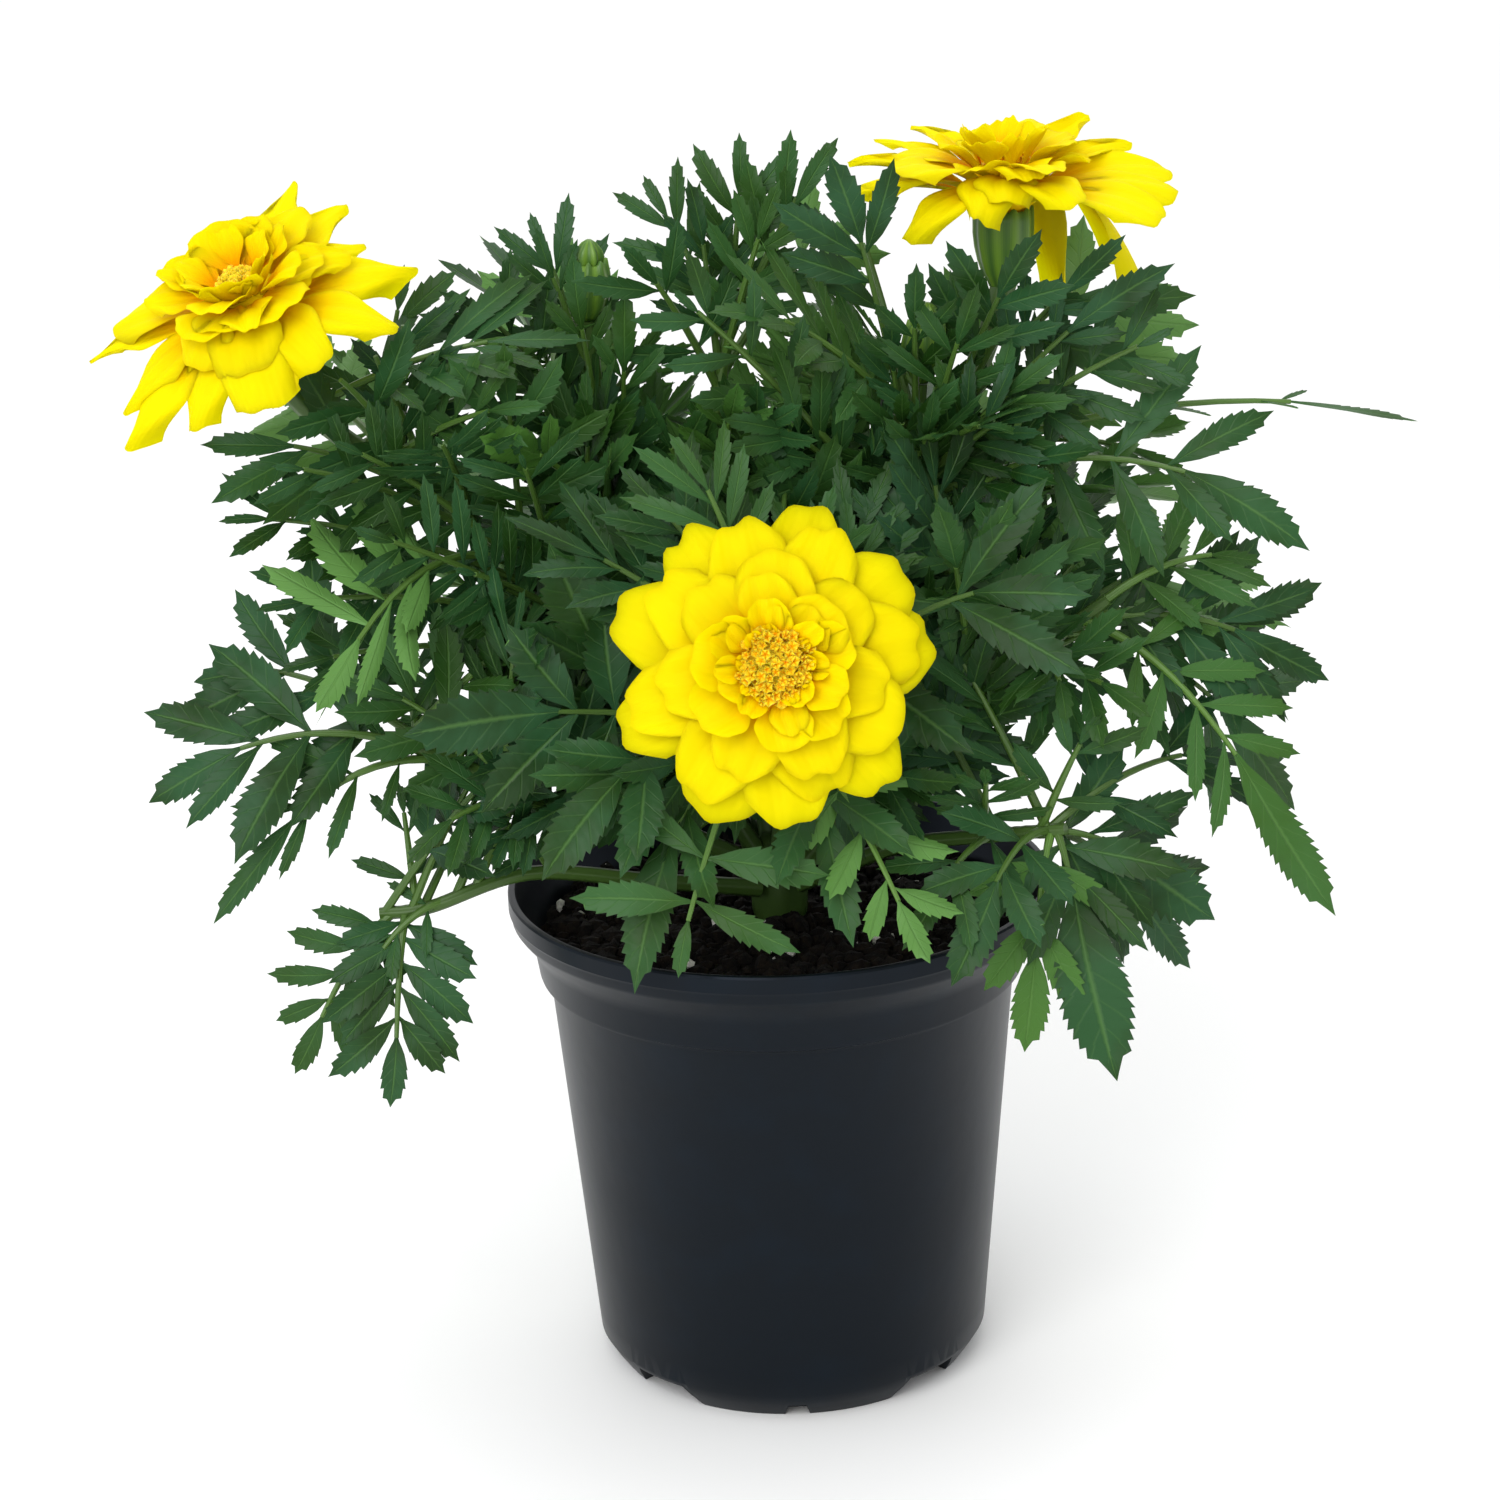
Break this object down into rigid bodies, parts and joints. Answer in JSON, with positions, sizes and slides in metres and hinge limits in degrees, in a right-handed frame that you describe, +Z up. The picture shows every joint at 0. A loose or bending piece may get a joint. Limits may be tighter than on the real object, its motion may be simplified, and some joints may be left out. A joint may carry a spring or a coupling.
{
  "type": "potted french marigold",
  "caption": "Flowering french marigold plant with yellow double blooms, buds and cut leaves, standing in soil in a round dark plastic nursery pot.",
  "frame": {"origin": "middle of the flat underside of the pot's floor, which rests on the surface", "axes": "+Z up, -Y towards the fullest side with the bloom that looks sideways, +X to the right seen from there"},
  "size_m": [0.263, 0.1733, 0.253],
  "materials": {
    "pot_plastic": "smooth thin black-grey plastic with a soft sheen",
    "potting_soil": "crumbly dark peat",
    "crown_bark": "green stem, a little woody",
    "leaf_green": "soft matte leaf",
    "calyx_green": "smooth ribbed green cup",
    "petal_yellow": "soft velvety petal",
    "disc_gold": "small golden florets",
    "bud_yellow_green": "folded young petals"
  },
  "bodies": {
    "root": {"pot": "pot_plastic", "soil": "potting_soil", "crown_stem": "crown_bark", "front_bloom_calyx": "calyx_green", "front_bloom_petals": "petal_yellow", "front_bloom_disc": "disc_gold", "left_bloom_calyx": "calyx_green", "left_bloom_petals": "petal_yellow", "left_bloom_disc": "disc_gold", "right_bloom_calyx": "calyx_green", "right_bloom_petals": "petal_yellow", "right_bloom_disc": "disc_gold", "middle_bud_calyx": "calyx_green", "middle_bud_petals": "bud_yellow_green", "top_bud_calyx": "calyx_green", "top_bud_petals": "bud_yellow_green", "left_bloom_leafy_stem": "leaf_green", "right_bloom_leafy_stem": "leaf_green", "front_bloom_leafy_stem": "leaf_green", "top_leafy_stem": "leaf_green", "top_left_leafy_stem": "leaf_green", "middle_bud_leafy_stem": "leaf_green", "low_left_leafy_stem": "leaf_green", "middle_left_leafy_stem": "leaf_green", "right_leafy_stem": "leaf_green", "low_right_leafy_stem": "leaf_green", "back_left_leafy_stem": "leaf_green", "back_right_leafy_stem": "leaf_green", "back_middle_leafy_stem": "leaf_green"}
  },
  "joints": []
}
